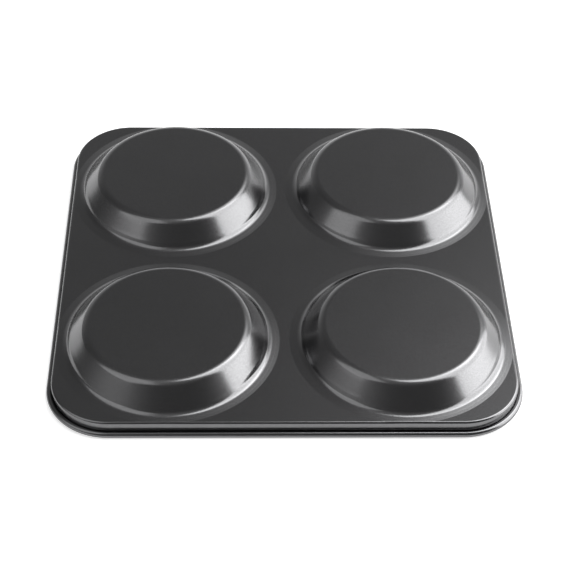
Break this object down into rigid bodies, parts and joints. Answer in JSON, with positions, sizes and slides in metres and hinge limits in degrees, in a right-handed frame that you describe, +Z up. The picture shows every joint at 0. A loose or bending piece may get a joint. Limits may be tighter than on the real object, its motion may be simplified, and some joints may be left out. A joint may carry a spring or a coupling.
{
  "type": "yorkshire pudding tray",
  "caption": "Shallow square baking tray with wide round cups whose walls slope, a short skirt and a rolled edge, shown lying upside down.",
  "frame": {"origin": "on the table under the tray's middle, as it lies upside down on its rolled edge", "axes": "+Z up, out of the cup bottoms; +X and +Y along the straight sides; the notched sides face -X and +X"},
  "size_m": [0.24, 0.24, 0.021],
  "materials": {
    "non_stick_steel": "satin dark grey non-stick coating"
  },
  "bodies": {
    "root": {"tray": "non_stick_steel"}
  },
  "joints": []
}
